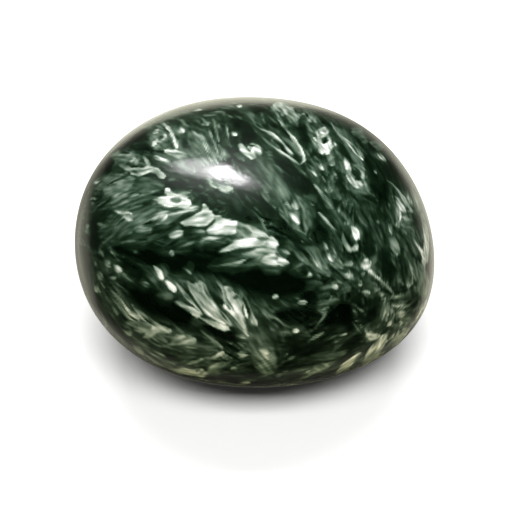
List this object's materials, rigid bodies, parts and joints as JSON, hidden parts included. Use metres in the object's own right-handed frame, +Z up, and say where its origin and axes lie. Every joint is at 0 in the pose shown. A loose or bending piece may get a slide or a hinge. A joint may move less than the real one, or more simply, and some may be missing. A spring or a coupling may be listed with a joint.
{
  "type": "polished seraphinite stone",
  "caption": "Smooth rounded palm stone of dark green seraphinite with silvery feather markings, resting on a small flat spot.",
  "frame": {"origin": "middle of the stone's plan outline, on the plane of the small flat spot that it rests on", "axes": "+X along the stone's length, +Y away from the viewer of the picture, +Z up, out of the flat spot"},
  "size_m": [0.0512, 0.0468, 0.0358],
  "materials": {
    "polished_seraphinite": "polished"
  },
  "bodies": {
    "root": {"stone": "polished_seraphinite"}
  },
  "joints": []
}
